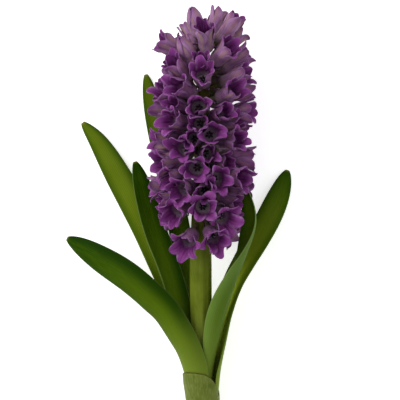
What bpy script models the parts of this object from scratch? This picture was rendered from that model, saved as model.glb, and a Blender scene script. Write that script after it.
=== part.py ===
# A cut hyacinth: one spike of florets on a fleshy stalk, six strap leaves and the pale sleeve
# that holds the leaf bases. It lies on its back, cut end at low Y, tip of the spike at high Y,
# front of the flower up (+Z). Lengths here are millimetres and leave the file as metres.
import math

import bpy
import numpy as np

MM = 0.001
HALF_TURN = 180.0
SLANTED = np.array([0.31, 0.87, 0.38])      # any direction that no floret points along

# stalk
STALK_TOP = 230.0            # where the stalk ends among the top buds
AXIS_START = 9.2             # height of the stalk axis over the ground at the cut
AXIS_RISE = 24.0             # how much higher the axis lies under the spike
AXIS_LEVEL_AT = 200.0        # length at which the axis has become level
SWAY_AT = 95.0               # the stalk leans to the right again on both sides of this point
SWAY_LOW, SWAY_HIGH = 1.9, 1.45
SWAY_BASE = 0.3
STALK_SIDES = 16
STALK_STATIONS = [0, 12, 24, 38, 55, 75, 95, 110, 125, 145, 165, 185, 205, 220, 228, STALK_TOP]
STALK_RADII = [5.0, 5.1, 5.2, 5.5, 6.1, 6.6, 6.6, 6.3, 5.6, 4.8, 4.4, 4.0, 3.4, 2.7, 2.1, 1.3]

# sleeve round the leaf bases
SLEEVE_AT = [0.0, 0.3, 0.65, 1.0]
SLEEVE_WALL = 0.7
SLEEVE_GAP = 0.5
SLEEVE_LENGTH = 26.2
SLEEVE_SLANT = 4.5           # the rim stands higher on one side by twice this
SLEEVE_HIGH_SIDE = 120.0
SLEEVE_NOTCH = 10.0          # on this side the rim dips to where the right-hand leaves come out
SLEEVE_NOTCH_SIDE, SLEEVE_NOTCH_WIDE = 12.0, 36.0
SLEEVE_SIDES = 28

# leaves
BASE_GAP = 0.35
LEAF_BASE_THICK = 1.1
INNER_FLARE, OUTER_FLARE = 0.012, 0.09
LEAF_STATIONS = 15           # evenly spaced up to LEAF_EVEN_TO, then closer towards the tip
LEAF_EVEN_TO = 0.88
LEAF_TIP_STATIONS = [0.93, 0.965, 0.988, 1.0]
LEAF_ARC_POINTS = 6
BUNDLE_TOP = 34.0
LEAF_BASE_HEIGHTS = (0.0, 14.0, 28.0)
SPLINE_STEPS = 24
LEAF_FREE_FROM = 0.16        # part of a leaf's length that is held in the bundle
LEAF_OPEN_AT = 0.45
LEAF_EDGE_THIN = 0.35
LEAF_MIDDLE_THICKER, LEAF_TIP_THINNER = 0.85, 0.6
LEAF_TIP_LEFT = 0.985        # the taper stops just short of a point
LEAF_TAPER_POWER, LEAF_TAPER_ROUND = 3, 0.62
LEAF_THICK_BY = 0.25         # after this much more of its length a leaf has its full thickness
LEAF_THIN_FROM = 0.7
LEAF_SQUARE_CUT = 0.12       # the first part is cut square to the length of the plant

# florets: lengths along the floret's own axis, from its foot on the stalk
PEDICEL_R = 1.3
FLORET_REACH = 22.5          # stalk surface to the middle of the mouth
FLORET_SIDES = 12
TUBE_PROFILE = [(0.0, PEDICEL_R), (4.5, 1.7), (8.5, 4.7), (15.5, 4.3)]
BUD_PROFILE = [(0.0, PEDICEL_R), (3.5, 1.6), (7.5, 4.3), (13.5, 4.2), (19.0, 4.7), (24.0, 3.3), (26.3, 1.1)]
LOBE_ROOT = (20.0, 5.5)
LOBE_TIP_CUP = (27.5, 5.8)
LOBE_TIP_STAR = (25.3, 9.3)
PETAL_WALL = 0.8
THROAT = (13.5, 3.0)
LOBE_ROOT_LIP = 0.2
ROLL_STEP = 37.0             # each floret is turned about its own axis by this much more
LOBE_APART = 60.0
LOBE_ROOT_HALF = 23.0        # degrees either side of the lobe's middle
LOBE_TIP_HALF_CUP = 22.0
LOBE_TIP_HALF_STAR = 18.0
BUD_BELOW = 0.15             # openness under which a floret is still a closed bud
STAR_ABOVE = 0.75
SEAT_GAP = 0.3
SPIKE_FROM = 112.0           # lowest seat of a floret on the stalk
SEAT_BELOW_TOP = 4.0

# each floret: height of its mouth, turn round the stalk (0 right, 90 front), rise over the
# radial direction, openness from bud to star
FLORETS = [
    (252, 30, 89, 0.10), (239, 80, 56, 0.35), (248, 325, 80, 0.20), (238, 10, 52, 0.20),
    (233, 338, 48, 0.50), (226, 140, 64, 0.00), (226, 318, 42, 0.30), (230, 45, 36, 0.65),
    (226, 176, 22, 0.50), (218, 140, 30, 0.60), (221, 354, 22, 0.60), (228, 225, 46, 0.30),
    (219, 275, 30, 0.50),
    (208, 92, 14, 0.80), (211, 15, 20, 0.60), (204, 128, 20, 0.70), (199, 166, 12, 0.70),
    (200, 35, 8, 0.70), (201, 340, 12, 0.70), (189, 98, 0, 0.80), (188, 5, 6, 0.80),
    (190, 192, 8, 0.70), (181, 136, 0, 0.80), (206, 222, 17, 0.60), (206, 292, 16, 0.60),
    (188, 258, 4, 0.80), (184, 318, 2, 0.80),
    (172, 76, -9, 1.00), (164, 120, -6, 1.00), (168, 178, 0, 0.90), (170, 30, -4, 0.90),
    (159, 352, -10, 0.90), (155, 156, -10, 1.00), (151, 100, -12, 1.00), (146, 66, -12, 1.00),
    (147, 24, -12, 0.90), (142, 188, -10, 0.90), (172, 222, -4, 0.80), (169, 285, -4, 0.80),
    (153, 250, -8, 0.80), (150, 305, -8, 0.80), (138, 232, -12, 0.80),
    (139, 118, -18, 1.00), (139, 322, -8, 0.90), (136, 280, -12, 0.80), (127, 132, -25, 1.00),
    (128, 86, -18, 1.00), (120, 54, -28, 1.00), (107, 110, -36, 1.00), (110, 66, -34, 0.60),
    (116, 304, -24, 0.60),
]
SPREAD_STEPS = 320
SPREAD_HOLD = 0.04           # how hard a mouth is drawn back to its own place, at first
HOLD_UNTIL = 0.7
NEIGHBOUR_PUSH, GROUND_PUSH, STALK_PUSH, SEAT_GIVE = 0.25, 0.5, 0.5, 0.6
CHAIN = [(2.5, 1.9), (5.5, 2.8), (8.5, 4.9), (12.5, 4.8), (16.5, 5.0)]
BUD_ROOM = 5.1               # room that a closed bud keeps round its end
MOUTH_ROOM, STAR_ROOM = 5.8, 2.5   # an open mouth keeps more, and a full star the most
LEAF_BED = 3.6               # on the left the florets lie on the back leaf, not on the ground
LEAF_BED_SIDE = -3.0

# each leaf: ring at the base (0 inner, 1 outer) and its turn there, then points along its middle
# past the bundle as (x, y, z), half width, channel half angle at base / middle / tip, and the
# direction its hollow face looks (degrees from +X to +Z) at base / middle / tip, and the part of
# its length from which it narrows to its tip
LEAVES = {
    "leaf_front_left": {
        "ring": 1, "turn": 124, "half": 10.2, "taper": 0.56,
        "points": [(-9.8, 47, 30.3), (-20, 65.5, 32), (-30.3, 76.5, 32), (-45, 89, 30),
                   (-63, 100.6, 25), (-81, 111.5, 17)],
        "channel": (56, 32, 16), "faces": (304, 303, 308)},
    "leaf_back_left": {
        "ring": 0, "turn": 240, "half": 8.8, "taper": 0.6,
        "points": [(-5, 48, 11.2), (-13.4, 74, 12.4), (-22.5, 94, 12), (-35, 121, 9.5),
                   (-49.8, 148.5, 5.5), (-62.4, 170, 2.8), (-72.8, 183, 1.2)],
        "channel": (41, 22, 14), "faces": (62, 80, 86)},
    "leaf_side_left": {
        "ring": 0, "turn": 146, "half": 8.3, "taper": 0.62,
        "points": [(-8.5, 48, 20.2), (-13.6, 72, 18.7), (-20.2, 94, 17.8), (-27.4, 114, 15.8),
                   (-33, 134, 14.6), (-39.8, 158.5, 14.6)],
        "channel": (39, 38, 22), "faces": (-34, 54, 68)},
    "leaf_back": {
        "ring": 1, "turn": 252, "half": 6.8, "taper": 0.72,
        "points": [(-0.8, 50, 6.6), (-6.4, 80, 3.6), (-13, 118, 1.6), (-22, 160, 1.2),
                   (-29, 191, 1.0), (-33.6, 213, 1.0)],
        "channel": (44, 12, 6), "faces": (72, 90, 90)},
    "leaf_side_right": {
        "ring": 0, "turn": 40, "half": 9.4, "taper": 0.62,
        "points": [(9.0, 48, 27), (13.2, 68, 31), (21, 88, 34), (28, 106, 36),
                   (31.2, 122, 36), (28.2, 140, 33.5)],
        "channel": (48, 60, 46), "faces": (215, 222, 132)},
    "leaf_back_right": {
        "ring": 1, "turn": 350, "half": 8.1, "taper": 0.72,
        "points": [(13.4, 46, 17), (15, 66, 16.5), (20.4, 83, 15.5), (27.6, 97, 13.5), (35.6, 111, 11),
                   (43, 125, 7.8), (49.4, 139.5, 4.2), (54.4, 153.5, 1.8)],
        "channel": (47, 24, 12), "faces": (170, 132, 92)},
}

GREENS = {"flower_stalk": (0.09, 0.13, 0.015), "basal_sheath": (0.14, 0.19, 0.035)}
LEAF_GREEN = (0.05, 0.12, 0.01)
PETAL_PURPLE = (0.17, 0.035, 0.18)
BUD_PURPLE = (0.15, 0.06, 0.14)
WAXY_ROUGHNESS = 0.45


def unit(vector):
    return vector / np.linalg.norm(vector)


def smooth(value):
    value = np.clip(value, 0.0, 1.0)
    return value * value * (3.0 - 2.0 * value)


def axis_at(y):
    part = np.clip(y / AXIS_LEVEL_AT, 0.0, 1.0)
    height = AXIS_START + AXIS_RISE * (1.0 - (1.0 - part) ** 2)
    lean = np.where(y < SWAY_AT, SWAY_LOW, SWAY_HIGH) * ((y - SWAY_AT) / SWAY_AT) ** 2
    return np.stack([SWAY_BASE + lean, y + 0.0 * height, height], axis=-1)


def stalk_radius(y):
    return np.interp(y, STALK_STATIONS, STALK_RADII)


def around(degrees):
    angle = math.radians(degrees)
    return np.array([math.cos(angle), 0.0, math.sin(angle)])


def loft_faces(rings, sides, close_ends=True):
    faces = []
    for ring in range(rings - 1):
        for side in range(sides):
            a = ring * sides + side
            b = ring * sides + (side + 1) % sides
            faces.append((a, b, b + sides, a + sides))
    if close_ends:
        faces.append(tuple(reversed(range(sides))))
        faces.append(tuple(range((rings - 1) * sides, rings * sides)))
    return faces


def volume_of(points, faces):
    total = 0.0
    for face in faces:
        first = points[face[0]]
        for b, c in zip(face[1:-1], face[2:]):
            total += float(np.dot(first, np.cross(points[b], points[c])))
    return total / 6.0


def make_stalk():
    rings = []
    for y, radius in zip(STALK_STATIONS, STALK_RADII):
        centre = axis_at(np.float64(y))
        for side in range(STALK_SIDES):
            rings.append(centre + radius * around(360.0 * side / STALK_SIDES))
    return np.array(rings), loft_faces(len(STALK_STATIONS), STALK_SIDES)


def ring_radius(y, ring):
    # middle of the leaf bases: an inner ring on the stalk and an outer ring round it, both
    # spreading a little from the cut upwards
    radius = stalk_radius(y) + BASE_GAP + LEAF_BASE_THICK / 2 + INNER_FLARE * y
    return radius + (LEAF_BASE_THICK + BASE_GAP + OUTER_FLARE * y) * ring


def make_sleeve():
    points = []
    rows = [(at, SLEEVE_WALL) for at in SLEEVE_AT] + [(at, 0.0) for at in reversed(SLEEVE_AT)]
    for at, wall in rows:
        for side in range(SLEEVE_SIDES):
            turn = 360.0 * side / SLEEVE_SIDES
            slant = SLEEVE_SLANT * math.cos(math.radians(turn - SLEEVE_HIGH_SIDE))
            from_notch = (turn - SLEEVE_NOTCH_SIDE + HALF_TURN) % (2 * HALF_TURN) - HALF_TURN
            notch = SLEEVE_NOTCH * math.exp(-(from_notch / SLEEVE_NOTCH_WIDE) ** 2)
            y = at * (SLEEVE_LENGTH + slant - notch)
            radius = ring_radius(y, 1) + LEAF_BASE_THICK / 2 + SLEEVE_GAP + wall
            points.append(axis_at(np.float64(y)) + radius * around(turn))
    faces = loft_faces(len(rows), SLEEVE_SIDES, close_ends=False)
    last = (len(rows) - 1) * SLEEVE_SIDES
    for side in range(SLEEVE_SIDES):
        after = (side + 1) % SLEEVE_SIDES
        faces.append((last + side, last + after, after, side))
    return np.array(points), faces


def spline(points, wanted):
    padded = [2 * points[0] - points[1]] + list(points) + [2 * points[-1] - points[-2]]
    dense = []
    for k in range(1, len(padded) - 2):
        p0, p1, p2, p3 = padded[k - 1:k + 3]
        for t in np.linspace(0, 1, SPLINE_STEPS, endpoint=False):
            dense.append(0.5 * (2 * p1 + (p2 - p0) * t + (2 * p0 - 5 * p1 + 4 * p2 - p3) * t ** 2
                                + (3 * p1 - p0 - 3 * p2 + p3) * t ** 3))
    dense.append(padded[-2])
    dense = np.array(dense)
    along = np.concatenate([[0], np.cumsum(np.linalg.norm(np.diff(dense, axis=0), axis=1))])
    return np.stack([np.interp(wanted * along[-1], along, dense[:, k]) for k in range(3)], axis=1)


def three_way(values, s):
    # a leaf keeps the shape of the bundle while it is inside it, then opens out
    base, middle, tip = values
    opened = smooth((s - LEAF_FREE_FROM) / (LEAF_OPEN_AT - LEAF_FREE_FROM))
    return base + (middle - base) * opened + (tip - middle) * smooth((s - LEAF_OPEN_AT) / (1 - LEAF_OPEN_AT))


def leaf_base_points(leaf):
    points = []
    for y in LEAF_BASE_HEIGHTS:
        points.append(axis_at(np.float64(y)) + ring_radius(y, leaf["ring"]) * around(leaf["turn"]))
    return points


def make_leaf(leaf):
    path = leaf_base_points(leaf) + [np.array(p, float) for p in leaf["points"]]
    along = np.append(np.linspace(0, LEAF_EVEN_TO, LEAF_STATIONS), LEAF_TIP_STATIONS)
    centres = spline(path, along)
    last = len(along) - 1
    rings = []
    for k, s in enumerate(along):
        before, after = centres[max(k - 1, 0)], centres[min(k + 1, last)]
        own_way = smooth(s / LEAF_SQUARE_CUT)
        ahead = unit(unit(after - before) * own_way + np.array([0, 1, 0]) * (1 - own_way))
        hollow = around(three_way(leaf["faces"], s))
        hollow = unit(hollow - np.dot(hollow, ahead) * ahead)
        across = np.cross(ahead, hollow)
        taper = max(0.0, (s - leaf["taper"]) / (1 - leaf["taper"])) * LEAF_TIP_LEFT
        ring = ring_radius(min(centres[k][1], BUNDLE_TOP), leaf["ring"])
        in_bundle = ring * math.radians(leaf["channel"][0])
        half = three_way((in_bundle, leaf["half"], leaf["half"]), s)
        half *= (1 - taper ** LEAF_TAPER_POWER) ** LEAF_TAPER_ROUND
        bend = math.radians(three_way(leaf["channel"], s))
        thick = LEAF_BASE_THICK + LEAF_MIDDLE_THICKER * smooth((s - LEAF_FREE_FROM) / LEAF_THICK_BY)
        thick -= LEAF_TIP_THINNER * smooth((s - LEAF_THIN_FROM) / (1 - LEAF_THIN_FROM))
        curve = half / bend
        for face in (1, -1):
            for j in range(LEAF_ARC_POINTS):
                q = (2 * j / (LEAF_ARC_POINTS - 1) - 1) * face
                angle = q * bend
                local = hollow * math.cos(angle) - across * math.sin(angle)
                middle = centres[k] + across * curve * math.sin(angle)
                middle = middle + hollow * curve * (1 - math.cos(angle))
                rings.append(middle + local * face * thick / 2 * (1 - LEAF_EDGE_THIN * q * q))
    return np.array(rings), loft_faces(len(along), 2 * LEAF_ARC_POINTS)


def chain_radii(openness):
    mouth = BUD_ROOM if openness < BUD_BELOW else MOUTH_ROOM + STAR_ROOM * openness
    return np.array([radius for _, radius in CHAIN] + [mouth])


def start_places():
    bases, mouths = [], []
    for height, turn, rise, _ in FLORETS:
        lift = math.radians(rise)
        y = min(height - FLORET_REACH * math.sin(lift), STALK_TOP - SEAT_BELOW_TOP)
        base = axis_at(np.float64(y)) + (stalk_radius(y) + SEAT_GAP) * around(turn)
        bases.append(base)
        heading = math.cos(lift) * around(turn) + np.array([0, math.sin(lift), 0])
        mouths.append(base + FLORET_REACH * heading)
    return np.array(bases), np.array(mouths)


def seat_on_stalk(bases):
    y = np.clip(bases[:, 1], SPIKE_FROM, STALK_TOP - SEAT_BELOW_TOP)
    axis = axis_at(y)
    outward = bases - axis
    outward[:, 1] = 0.0
    outward /= np.linalg.norm(outward, axis=1)[:, None]
    return axis + outward * (stalk_radius(y) + SEAT_GAP)[:, None]


def keep_off_stalk(spheres, reach):
    y = np.clip(spheres[:, 1], SPIKE_FROM, STALK_TOP)
    outward = spheres - axis_at(y)
    distance = np.linalg.norm(outward, axis=1) + 1e-9
    short = np.clip(reach + stalk_radius(y) + SEAT_GAP - distance, 0.0, None)
    return outward / distance[:, None] * short[:, None]


def spread_florets():
    # neighbours crowd each other apart until none of them press together
    bases, mouths = start_places()
    wanted = mouths.copy()
    at = np.array([w for w, _ in CHAIN] + [FLORET_REACH]) / FLORET_REACH
    radii = np.array([chain_radii(f[3]) for f in FLORETS])
    count, links = radii.shape
    owner = np.repeat(np.arange(count), links)
    reach = radii.reshape(-1)
    weight = np.tile(at, count)
    for step in range(SPREAD_STEPS):
        spheres = (bases[:, None] + (mouths - bases)[:, None] * at[None, :, None]).reshape(-1, 3)
        apart = spheres[:, None] - spheres[None]
        distance = np.linalg.norm(apart, axis=2) + 1e-9
        short = np.clip(reach[:, None] + reach[None] - distance, 0.0, None)
        short[owner[:, None] == owner[None]] = 0.0
        push = (apart / distance[..., None] * short[..., None]).sum(axis=1) * NEIGHBOUR_PUSH
        bed = np.where(spheres[:, 0] < LEAF_BED_SIDE, LEAF_BED, 0.0)
        push[:, 2] += np.clip(reach + bed - spheres[:, 2], 0.0, None) * GROUND_PUSH
        push += keep_off_stalk(spheres, reach) * STALK_PUSH
        for k in range(count):
            mine = slice(k * links, (k + 1) * links)
            mouths[k] += (push[mine] * weight[mine, None]).sum(axis=0)
            bases[k] += (push[mine] * (1 - weight[mine, None])).sum(axis=0) * SEAT_GIVE
        if step < SPREAD_STEPS * HOLD_UNTIL:
            mouths += (wanted - mouths) * SPREAD_HOLD
        bases = seat_on_stalk(bases)
        heading = mouths - bases
        heading /= np.linalg.norm(heading, axis=1)[:, None]
        mouths = bases + heading * FLORET_REACH
    return clear_the_stalk(bases, heading), heading


def clear_the_stalk(bases, heading):
    # a pedicel that leaves the stalk at a slant is seated on the rim of its foot
    outward = bases - axis_at(bases[:, 1])
    outward /= np.linalg.norm(outward, axis=1)[:, None]
    slant = np.sqrt(np.clip(1 - (outward * heading).sum(axis=1) ** 2, 0, 1))
    return bases + outward * (PEDICEL_R * slant)[:, None]


def floret_frame(base, heading, roll):
    side = unit(np.cross(heading, SLANTED))
    other = np.cross(heading, side)
    turn = math.radians(roll)
    across = side * math.cos(turn) + other * math.sin(turn)
    return base, heading, across, np.cross(heading, across)


def place(frame, along, radius, degrees):
    base, heading, across, up = frame
    angle = math.radians(degrees)
    return base + heading * along + radius * (across * math.cos(angle) + up * math.sin(angle))


def make_bud(frame):
    points = []
    for along, radius in BUD_PROFILE:
        for side in range(FLORET_SIDES):
            points.append(place(frame, along, radius, 360.0 * side / FLORET_SIDES))
    return np.array(points), loft_faces(len(BUD_PROFILE), FLORET_SIDES)


def make_floret(frame, openness):
    # a tube of twelve sides whose rim carries six lobes, one on every second side
    angles = []
    for lobe in range(6):
        angles += [LOBE_APART * lobe - LOBE_ROOT_HALF, LOBE_APART * lobe + LOBE_ROOT_HALF]
    points = []
    for along, radius in TUBE_PROFILE + [LOBE_ROOT]:
        points += [place(frame, along, radius, a) for a in angles]
    root_inner = (LOBE_ROOT[0] + LOBE_ROOT_LIP, LOBE_ROOT[1] - PETAL_WALL)
    for along, radius in (root_inner, THROAT):
        points += [place(frame, along, radius, a) for a in angles]
    rings = len(TUBE_PROFILE) + 1
    outer, inner, throat = [ring * FLORET_SIDES for ring in (rings - 1, rings, rings + 1)]
    faces = loft_faces(rings, FLORET_SIDES, close_ends=False)
    faces.append(tuple(reversed(range(FLORET_SIDES))))
    for side in range(FLORET_SIDES):
        after = (side + 1) % FLORET_SIDES
        faces.append((inner + side, inner + after, throat + after, throat + side))
    faces.append(tuple(throat + side for side in range(FLORET_SIDES)))
    spread = smooth(openness)
    tip = [c + (s - c) * spread for c, s in zip(LOBE_TIP_CUP, LOBE_TIP_STAR)]
    half = LOBE_TIP_HALF_CUP + (LOBE_TIP_HALF_STAR - LOBE_TIP_HALF_CUP) * spread
    slope = unit(np.array([tip[0] - LOBE_ROOT[0], tip[1] - LOBE_ROOT[1]]))
    inward = np.array([slope[1], -slope[0]]) * PETAL_WALL
    for lobe in range(6):
        start = len(points)
        for along, radius in (tip, (tip[0] + inward[0], tip[1] + inward[1])):
            points += [place(frame, along, radius, LOBE_APART * lobe + turn) for turn in (-half, half)]
        a, b = outer + 2 * lobe, outer + 2 * lobe + 1
        c, d = inner + 2 * lobe, inner + 2 * lobe + 1
        ta, tb, tc, td = start, start + 1, start + 2, start + 3
        after = (2 * lobe + 2) % FLORET_SIDES
        faces += [(a, b, tb, ta), (c, tc, td, d), (ta, tb, td, tc), (a, ta, tc, c), (b, d, td, tb)]
        faces.append((b, outer + after, inner + after, d))
    return np.array(points), faces


def material(name, colour, roughness):
    made = bpy.data.materials.new(name)
    made.use_nodes = True
    shader = next(n for n in made.node_tree.nodes if n.type == "BSDF_PRINCIPLED")
    shader.inputs["Base Color"].default_value = (*colour, 1.0)
    shader.inputs["Roughness"].default_value = roughness
    return made


def add_object(name, points, faces, colour):
    if volume_of(points, faces) < 0:
        faces = [tuple(reversed(face)) for face in faces]
    mesh = bpy.data.meshes.new(name)
    mesh.from_pydata([tuple(float(v) * MM for v in p) for p in points], [], faces)
    mesh.update()
    mesh.polygons.foreach_set("use_smooth", [True] * len(mesh.polygons))
    node = bpy.data.objects.new(name, mesh)
    bpy.context.scene.collection.objects.link(node)
    mesh.materials.append(material(name + "_surface", colour, WAXY_ROUGHNESS))


def floret_name(openness, number):
    if openness < BUD_BELOW:
        return "bud_%02d" % number
    return ("open_floret_%02d" if openness > STAR_ABOVE else "half_open_floret_%02d") % number


def all_solids():
    solids = [("flower_stalk", *make_stalk(), GREENS["flower_stalk"]),
              ("basal_sheath", *make_sleeve(), GREENS["basal_sheath"])]
    for name, leaf in LEAVES.items():
        solids.append((name, *make_leaf(leaf), LEAF_GREEN))
    bases, headings = spread_florets()
    order = np.argsort(bases[:, 1], kind="stable")
    for number, k in enumerate(order, start=1):
        openness = FLORETS[k][3]
        frame = floret_frame(bases[k], headings[k], ROLL_STEP * k)
        if openness < BUD_BELOW:
            solid, colour = make_bud(frame), BUD_PURPLE
        else:
            solid, colour = make_floret(frame, openness), PETAL_PURPLE
        solids.append((floret_name(openness, number), *solid, colour))
    return solids


def build():
    for old in list(bpy.data.objects):
        bpy.data.objects.remove(old, do_unlink=True)
    solids = all_solids()
    everything = np.concatenate([points for _, points, _, _ in solids])
    low, high = everything.min(axis=0), everything.max(axis=0)
    shift = np.array([-(low[0] + high[0]) / 2, -(low[1] + high[1]) / 2, -low[2]])
    for name, points, faces, colour in solids:
        add_object(name, points + shift, faces, colour)


build()
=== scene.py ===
import math

import bmesh
import bpy
import numpy as np
from mathutils import Matrix, Vector


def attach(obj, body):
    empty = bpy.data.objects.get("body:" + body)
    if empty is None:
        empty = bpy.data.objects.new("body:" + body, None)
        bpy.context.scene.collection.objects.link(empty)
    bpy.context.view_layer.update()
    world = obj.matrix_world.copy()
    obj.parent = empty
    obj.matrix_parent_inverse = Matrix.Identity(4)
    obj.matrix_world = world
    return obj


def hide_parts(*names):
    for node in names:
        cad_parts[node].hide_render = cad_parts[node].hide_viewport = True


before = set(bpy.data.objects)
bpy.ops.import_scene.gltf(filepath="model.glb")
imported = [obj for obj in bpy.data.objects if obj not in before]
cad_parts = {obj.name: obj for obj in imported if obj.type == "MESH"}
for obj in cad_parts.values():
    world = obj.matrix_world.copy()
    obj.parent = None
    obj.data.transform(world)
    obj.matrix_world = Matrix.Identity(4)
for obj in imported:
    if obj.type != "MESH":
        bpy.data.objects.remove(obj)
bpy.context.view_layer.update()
mm = 0.001


def eased(value, start, end):
    # 0 before start, 1 past end, and a soft step between them
    part = np.clip((value - start) / (end - start), 0.0, 1.0)
    return part * part * (3.0 - 2.0 * part)


def between(first, second, share):
    return first + (second - first) * share


def unit(vector):
    return vector / np.maximum(np.linalg.norm(vector, axis=-1, keepdims=True), 1e-9)


def around(degrees):
    # direction round the length of the plant: 0 is right, 90 is the front
    turn = np.radians(degrees)
    return np.stack([np.cos(turn), 0.0 * turn, np.sin(turn)], axis=-1)


def nodePoints(name):
    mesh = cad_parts[name].data
    flat = np.zeros(len(mesh.vertices) * 3)
    mesh.vertices.foreach_get("co", flat)
    return np.unique(np.round(flat.reshape(-1, 3) / mm, 4), axis=0)


def tint(hexText):
    # the usual web colour as the linear colour that the shaders want
    parts = [int(hexText[k:k + 2], 16) / 255 for k in (1, 3, 5)]
    return tuple(p / 12.92 if p < 0.04045 else ((p + 0.055) / 1.055) ** 2.4 for p in parts) + (1.0,)


building = {}       # "tree": the node tree that the next helpers work on


def link(amount, socket):
    building["tree"].links.new(amount, socket)


def put(kind, inputs=None, **settings):
    # adds a node; an input that is given a socket is linked, anything else is its value
    made = building["tree"].nodes.new(kind)
    for key, amount in settings.items():
        setattr(made, key, amount)
    for key, amount in (inputs or {}).items():
        if isinstance(amount, bpy.types.NodeSocket):
            link(amount, made.inputs[key])
        else:
            made.inputs[key].default_value = amount
    return made


def maths(operation, first, second=0.0):
    return put("ShaderNodeMath", {0: first, 1: second}, operation=operation).outputs[0]


def times(*factors):
    product = factors[0]
    for factor in factors[1:]:
        product = maths("MULTIPLY", product, factor)
    return product


def plus(first, second):
    return maths("ADD", first, second)


def joined(*parts):
    return put("ShaderNodeCombineXYZ", dict(enumerate(parts))).outputs[0]


def ramp(amount, low, high, toLow=0.0, toHigh=1.0):
    return put("ShaderNodeMapRange", {"Value": amount, "From Min": low, "From Max": high,
               "To Min": toLow, "To Max": toHigh}, interpolation_type="SMOOTHSTEP").outputs[0]


def mixed(share, *ends):
    first, second = [tint(colour) if isinstance(colour, str) else colour for colour in ends]
    return put("ShaderNodeMix", {0: share, 6: first, 7: second}, data_type="RGBA").outputs[2]


def layered(base, *coats):
    # lays one colour after another over the base, each with its own share
    for share, colour in coats:
        base = mixed(share, base, colour)
    return base


def attributes(*names):
    return [put("ShaderNodeAttribute", attribute_name=name).outputs["Fac"] for name in names]


def objectPlace(stretch=None):
    place = put("ShaderNodeTexCoord").outputs["Object"]
    if stretch:
        place = put("ShaderNodeMapping", {"Vector": place, "Scale": stretch}).outputs[0]
    return place


def noise(where, scale, detail=2.0, roughness=0.5):
    return put("ShaderNodeTexNoise", {"Vector": where, "Scale": scale, "Detail": detail,
               "Roughness": roughness}).outputs["Fac"]


def finishSkin(skin, colour, height, strength, distance):
    bump = put("ShaderNodeBump", {"Height": height, "Strength": strength, "Distance": distance})
    link(colour, skin.inputs["Base Color"])
    link(bump.outputs[0], skin.inputs["Normal"])


def newMaterial(name, roughness, **sockets):
    made = bpy.data.materials.new(name)
    made.use_nodes = True
    building["tree"] = made.node_tree
    skin = next(n for n in made.node_tree.nodes if n.type == "BSDF_PRINCIPLED")
    skin.inputs["Roughness"].default_value = roughness
    for key, amount in sockets.items():
        skin.inputs[key.replace("_", " ")].default_value = amount
    return made, skin


def newObject(name, data):
    made = bpy.data.objects.new(name, data)
    bpy.context.scene.collection.objects.link(made)
    return made


def newMesh(name, points, edges, faces, **layers):
    # each layer is one attribute, a number or a vector for every point
    mesh = bpy.data.meshes.new(name)
    mesh.from_pydata((np.asarray(points) * mm).tolist(), edges, faces)
    for key, amounts in layers.items():
        amounts = np.asarray(amounts, np.float32)
        kind, part = ("FLOAT", "value") if amounts.ndim == 1 else ("FLOAT_VECTOR", "vector")
        mesh.attributes.new(key, kind, "POINT").data.foreach_set(part, amounts.ravel())
    return mesh


def newPiece(name, points, faces, materials, values, faceMaterials=None):
    mesh = newMesh(name, points + plantOrigin, [], faces, **values)
    kinds = faceMaterials or [0] * len(faces)
    mesh.polygons.foreach_set("material_index", kinds)
    for one in materials:
        mesh.materials.append(one)
    shell = bmesh.new()
    shell.from_mesh(mesh)
    bmesh.ops.recalc_face_normals(shell, faces=shell.faces)
    shell.to_mesh(mesh)
    shell.free()
    mesh.polygons.foreach_set("use_smooth", [kind == 0 for kind in kinds])     # a cut end is flat
    return newObject(name, mesh)


def handIn(piece, slotName, *nodes):
    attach(piece, "root")
    if nodes:
        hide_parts(*nodes)


def ringFaces(rings, sides):
    faces = []
    for start in range(0, (rings - 1) * sides, sides):
        for side in range(sides):
            a, b = start + side, start + (side + 1) % sides
            faces.append((a, b, b + sides, a + sides))
    return faces


# the plant lies on its back: x right, y from the cut end to the tip, z up, all in millimetres
plant = {
    "footLeansTo": 2.2, "footHeight": 9.2,      # axis of the stalk at the cut
    "rise": 24.0, "levelAt": 200.0,             # it rises by this much up to here, then runs level
    "swayAt": 95.0, "swayLow": 1.9, "swayHigh": 1.45, "swayBase": 0.3,
    "stations": [0, 12, 24, 38, 55, 75, 95, 110, 125, 145, 165, 185, 205, 220, 228, 230],
    "radii": [5.0, 5.1, 5.2, 5.5, 6.1, 6.6, 6.6, 6.3, 5.6, 4.8, 4.4, 4.0, 3.4, 2.7, 2.1, 1.3],
    "leafThick": 1.1, "leafGap": 0.35, "innerFlare": 0.012, "outerFlare": 0.09,
    "perSpan": 24,                              # steps of a spline between two of its points
}

stalkPoints = nodePoints("flower_stalk")
cutRing = stalkPoints[stalkPoints[:, 1] < stalkPoints[:, 1].min() + 0.01]
plantOrigin = cutRing.mean(axis=0) - np.array([plant["footLeansTo"], 0.0, plant["footHeight"]])


def axisAt(y):
    y = np.asarray(y, float)
    part = np.clip(y / plant["levelAt"], 0.0, 1.0)
    height = plant["footHeight"] + plant["rise"] * (1.0 - (1.0 - part) ** 2)
    sway = np.where(y < plant["swayAt"], plant["swayLow"], plant["swayHigh"])
    lean = plant["swayBase"] + sway * ((y - plant["swayAt"]) / plant["swayAt"]) ** 2
    return np.stack([lean, y, height], axis=-1)


def stalkRadius(y):
    return np.interp(y, plant["stations"], plant["radii"])


def baseRadius(y, ring):
    # leaf bases wrap the stalk in an inner and an outer ring
    radius = stalkRadius(y) + plant["leafGap"] + plant["leafThick"] / 2 + plant["innerFlare"] * y
    return radius + (plant["leafThick"] + plant["leafGap"] + plant["outerFlare"] * y) * ring


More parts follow.
